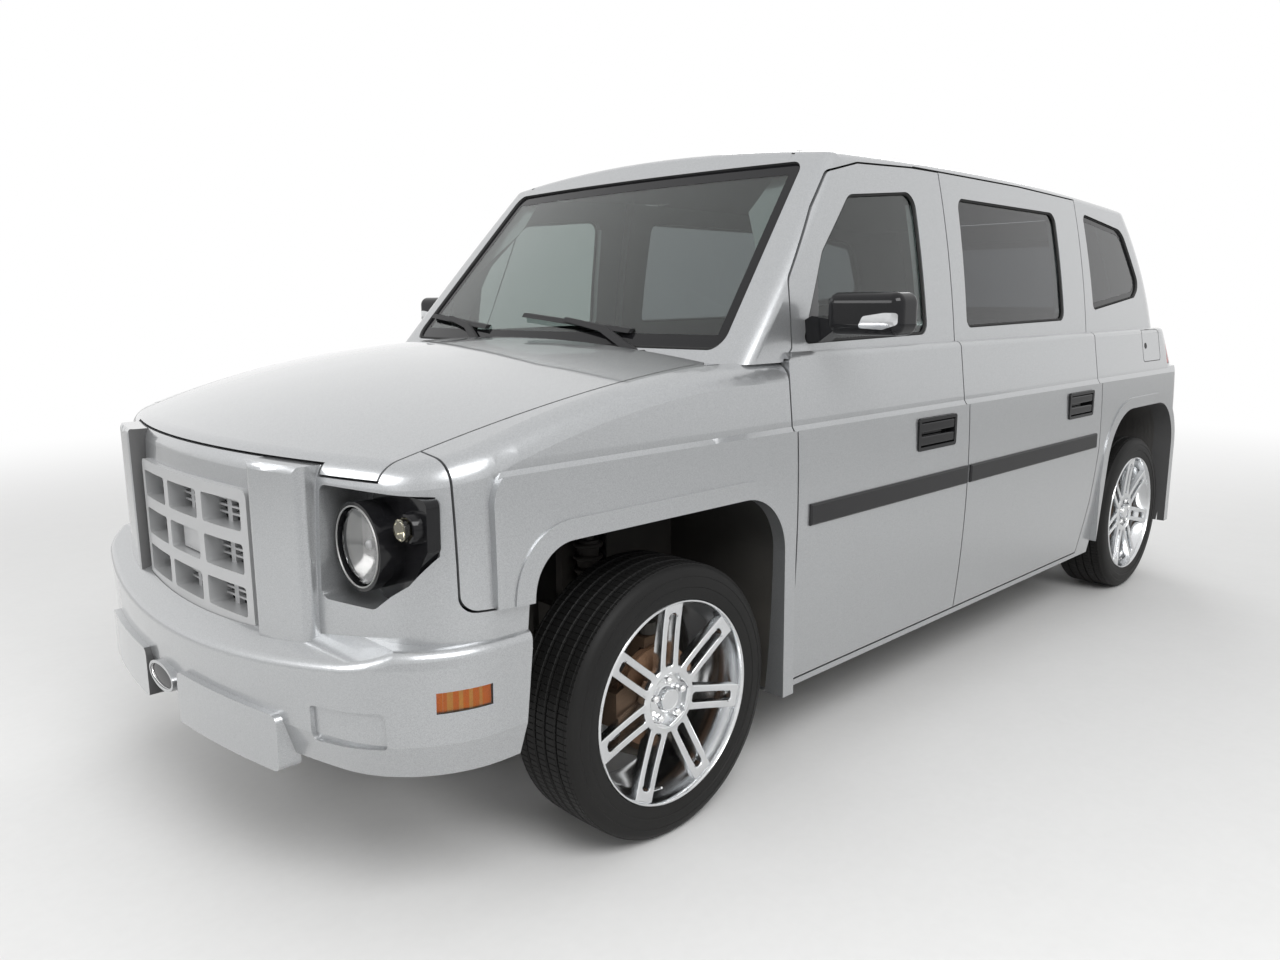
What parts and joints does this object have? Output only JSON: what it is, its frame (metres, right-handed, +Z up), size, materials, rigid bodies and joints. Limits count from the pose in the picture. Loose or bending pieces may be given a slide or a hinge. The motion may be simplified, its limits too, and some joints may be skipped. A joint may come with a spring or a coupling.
{
  "type": "wheelchair accessible van",
  "caption": "High-roofed box-nosed van with hinged side doors, a lifting tailgate, steered road wheels and a stowed wheelchair ramp under its low cabin floor.",
  "frame": {"origin": "middle of the vehicle on the ground, under the centre of its bounding box", "axes": "+X forward, +Y to the vehicle's left, +Z up"},
  "size_m": [5.21, 2.512, 2.0356],
  "materials": {
    "body_paint": "silver metallic, clear coated",
    "chassis_black": "satin black",
    "underbody": "matt grey",
    "black_trim": "fine grain",
    "interior": "fine grain",
    "tinted_glass": "tinted",
    "clear_glass": "clear",
    "lamp_lens": "clear moulded",
    "amber": "glossy",
    "lamp_red": "glossy",
    "grille_silver": "satin silver",
    "lamp_black": "glossy",
    "tyre": "matt",
    "alloy": "polished",
    "cast_steel": "rusty brown",
    "bare_steel": "dull",
    "alu_block": "as cast",
    "seat_fabric": "woven",
    "ramp_alloy": "ribbed"
  },
  "bodies": {
    "body": {"chassis_frame": "chassis_black", "floor_pan": "underbody", "firewall": "body_paint", "side_frames": "body_paint", "roof_panel": "body_paint", "front_fenders": "body_paint", "front_fascia": "body_paint", "grille": "grille_silver", "headlamp_housings": "lamp_black", "headlamp_lenses": "lamp_lens", "amber_lamps": "amber", "radiator": "alu_block", "wipers": "black_trim", "windscreen": "clear_glass", "quarter_windows": "tinted_glass", "tail_lamps": "lamp_red", "rear_bumper": "body_paint", "front_suspension": "chassis_black", "front_wheelhouses": "black_trim", "rear_axle": "chassis_black", "powertrain_block": "alu_block", "fuel_tank": "black_trim", "exhaust": "bare_steel", "dashboard": "interior", "seat_bases": "interior", "seat_cushions": "seat_fabric", "seat_backs": "seat_fabric", "ramp_cassette": "bare_steel", "ramp_plate": "ramp_alloy"},
    "hood": {"hood": "body_paint"},
    "tailgate": {"tailgate": "body_paint", "tailgate_glass": "tinted_glass"},
    "steering_wheel": {"steering_wheel": "interior"},
    "left_front_door": {"front_door_left": "body_paint", "front_door_glass_left": "clear_glass", "front_door_trim_left": "black_trim", "door_mirror_left": "black_trim"},
    "left_rear_door": {"rear_door_left": "body_paint", "rear_door_glass_left": "tinted_glass", "rear_door_trim_left": "black_trim"},
    "left_knuckle": {"knuckle_left": "cast_steel"},
    "left_front_wheel": {"front_tyre_left": "tyre", "front_rim_left": "alloy"},
    "left_rear_wheel": {"rear_tyre_left": "tyre", "rear_rim_left": "alloy"},
    "right_front_door": {"front_door_right": "body_paint", "front_door_glass_right": "clear_glass", "front_door_trim_right": "black_trim", "door_mirror_right": "black_trim"},
    "right_rear_door": {"rear_door_right": "body_paint", "rear_door_glass_right": "tinted_glass", "rear_door_trim_right": "black_trim"},
    "right_knuckle": {"knuckle_right": "cast_steel"},
    "right_front_wheel": {"front_tyre_right": "tyre", "front_rim_right": "alloy"},
    "right_rear_wheel": {"rear_tyre_right": "tyre", "rear_rim_right": "alloy"}
  },
  "joints": [
    {"name": "left_front_door_hinge", "type": "hinge", "parent": "body", "child": "left_front_door", "pos_m": [1.01675, 0.992, 0.76], "axis": [0, 0, -1], "range_deg": [0, 68]},
    {"name": "left_rear_door_hinge", "type": "hinge", "parent": "body", "child": "left_rear_door", "pos_m": [-0.06325, 0.992, 0.76], "axis": [0, 0, -1], "range_deg": [0, 68]},
    {"name": "left_steer", "type": "hinge", "parent": "body", "child": "left_knuckle", "pos_m": [1.575, 0.86, 0.396], "axis": [0, 0, 1], "range_deg": [-28, 28]},
    {"name": "left_front_wheel_spin", "type": "hinge", "parent": "left_knuckle", "child": "left_front_wheel", "pos_m": [1.575, 0.94, 0.396], "axis": [0, 1, 0], "continuous": true},
    {"name": "left_rear_wheel_spin", "type": "hinge", "parent": "body", "child": "left_rear_wheel", "pos_m": [-1.893, 0.94, 0.396], "axis": [0, 1, 0], "continuous": true},
    {"name": "right_front_door_hinge", "type": "hinge", "parent": "body", "child": "right_front_door", "pos_m": [1.01675, -0.992, 0.76], "axis": [0, 0, 1], "range_deg": [0, 68]},
    {"name": "right_rear_door_hinge", "type": "hinge", "parent": "body", "child": "right_rear_door", "pos_m": [-0.06325, -0.992, 0.76], "axis": [0, 0, 1], "range_deg": [0, 68]},
    {"name": "right_steer", "type": "hinge", "parent": "body", "child": "right_knuckle", "pos_m": [1.575, -0.86, 0.396], "axis": [0, 0, 1], "range_deg": [-28, 28]},
    {"name": "right_front_wheel_spin", "type": "hinge", "parent": "right_knuckle", "child": "right_front_wheel", "pos_m": [1.575, -0.94, 0.396], "axis": [0, 1, 0], "continuous": true},
    {"name": "right_rear_wheel_spin", "type": "hinge", "parent": "body", "child": "right_rear_wheel", "pos_m": [-1.893, -0.94, 0.396], "axis": [0, 1, 0], "continuous": true},
    {"name": "hood_hinge", "type": "hinge", "parent": "body", "child": "hood", "pos_m": [1.33, 0, 1.344], "axis": [0, -1, 0], "range_deg": [0, 50]},
    {"name": "tailgate_hinge", "type": "hinge", "parent": "body", "child": "tailgate", "pos_m": [-2.13305, 0, 1.93762], "axis": [0, 1, 0], "range_deg": [0, 85]},
    {"name": "steering_wheel_turn", "type": "hinge", "parent": "body", "child": "steering_wheel", "pos_m": [0.742, 0.432, 1.12], "axis": [-0.8988, 0, 0.4384], "range_deg": [-420, 420]}
  ],
  "couplings": [
    {"joint": "left_steer", "follows": "steering_wheel_turn", "ratio": 0.066667},
    {"joint": "right_steer", "follows": "steering_wheel_turn", "ratio": 0.066667}
  ]
}
